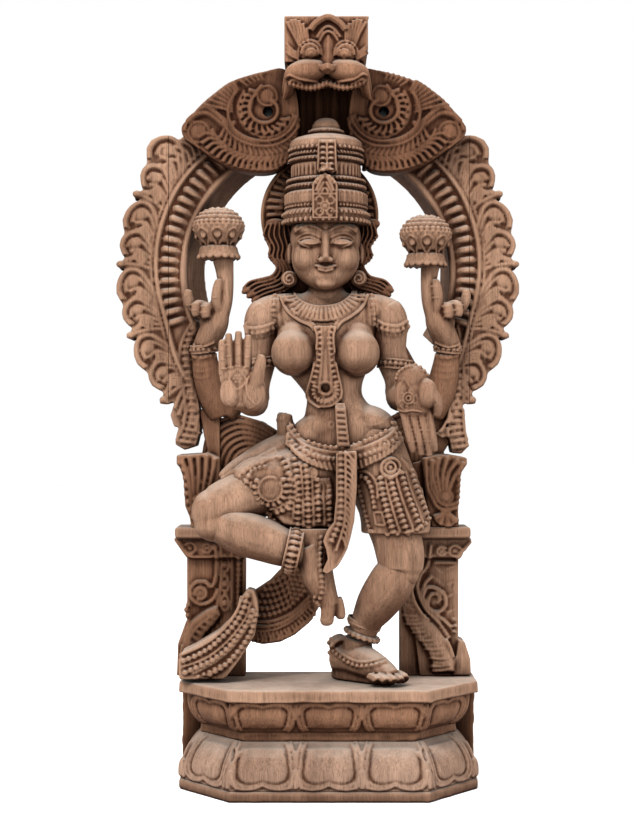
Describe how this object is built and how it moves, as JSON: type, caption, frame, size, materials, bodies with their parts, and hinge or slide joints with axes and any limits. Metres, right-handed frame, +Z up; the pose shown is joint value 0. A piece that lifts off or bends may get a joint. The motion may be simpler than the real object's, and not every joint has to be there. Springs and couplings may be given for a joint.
{
  "type": "carved wooden goddess statue",
  "caption": "Carved wooden four-armed dancing goddess on a lotus base under a leafed arch with a lion-face crest.",
  "frame": {"origin": "middle of the base's underside, in the middle of the plank's depth", "axes": "+Z up, the figure faces -Y, +X to the viewer's right"},
  "size_m": [0.3236, 0.102, 0.605],
  "materials": {
    "carved_wood": "open-grained carved timber, worn lighter on the high spots",
    "shaded_wood": "the same timber, darker and dusty in the recesses",
    "side_strip_wood": "edge-glued strip of the same timber, slightly yellower",
    "dowel_wood": "plain hardwood dowel, hidden"
  },
  "bodies": {
    "root": {"foot_slab": "carved_wood", "lower_lotus": "carved_wood", "base_waist": "carved_wood", "upper_lotus": "carved_wood", "top_slab": "carved_wood", "base_back": "shaded_wood", "post_left": "carved_wood", "post_right": "carved_wood", "post_cap_left": "carved_wood", "post_cap_right": "carved_wood", "shoulder_block_left": "carved_wood", "shoulder_block_right": "carved_wood", "arch_left": "carved_wood", "arch_right": "carved_wood", "leaf_strip_left": "side_strip_wood", "leaf_strip_right": "side_strip_wood", "scroll_wing_left": "carved_wood", "scroll_wing_right": "carved_wood", "crown_board": "shaded_wood", "mask": "carved_wood", "strip_dowels": "dowel_wood", "mask_dowels": "dowel_wood", "torso": "carved_wood", "head": "carved_wood", "crown": "carved_wood", "crown_plaque": "carved_wood", "halo": "shaded_wood", "hair_left": "shaded_wood", "hair_right": "shaded_wood", "earrings": "carved_wood", "necklace": "carved_wood", "pendant": "carved_wood", "hip_belt": "carved_wood", "skirt_left": "carved_wood", "skirt_right": "carved_wood", "centre_sash": "carved_wood", "sash_tail": "carved_wood", "back_drape": "shaded_wood", "scarf_left": "shaded_wood", "scarf_right": "shaded_wood", "back_arm_left": "shaded_wood", "back_arm_right": "shaded_wood", "raised_hand_left": "carved_wood", "raised_hand_right": "carved_wood", "lotus_left": "carved_wood", "lotus_right": "carved_wood", "front_arm_left": "carved_wood", "front_arm_right": "carved_wood", "blessing_hand": "carved_wood", "giving_hand": "carved_wood", "armlets": "carved_wood", "bracelets": "carved_wood", "raised_thigh": "carved_wood", "hanging_shin": "carved_wood", "hanging_foot": "carved_wood", "standing_thigh": "carved_wood", "standing_shin": "carved_wood", "standing_foot": "carved_wood", "anklets": "carved_wood"}
  },
  "joints": []
}
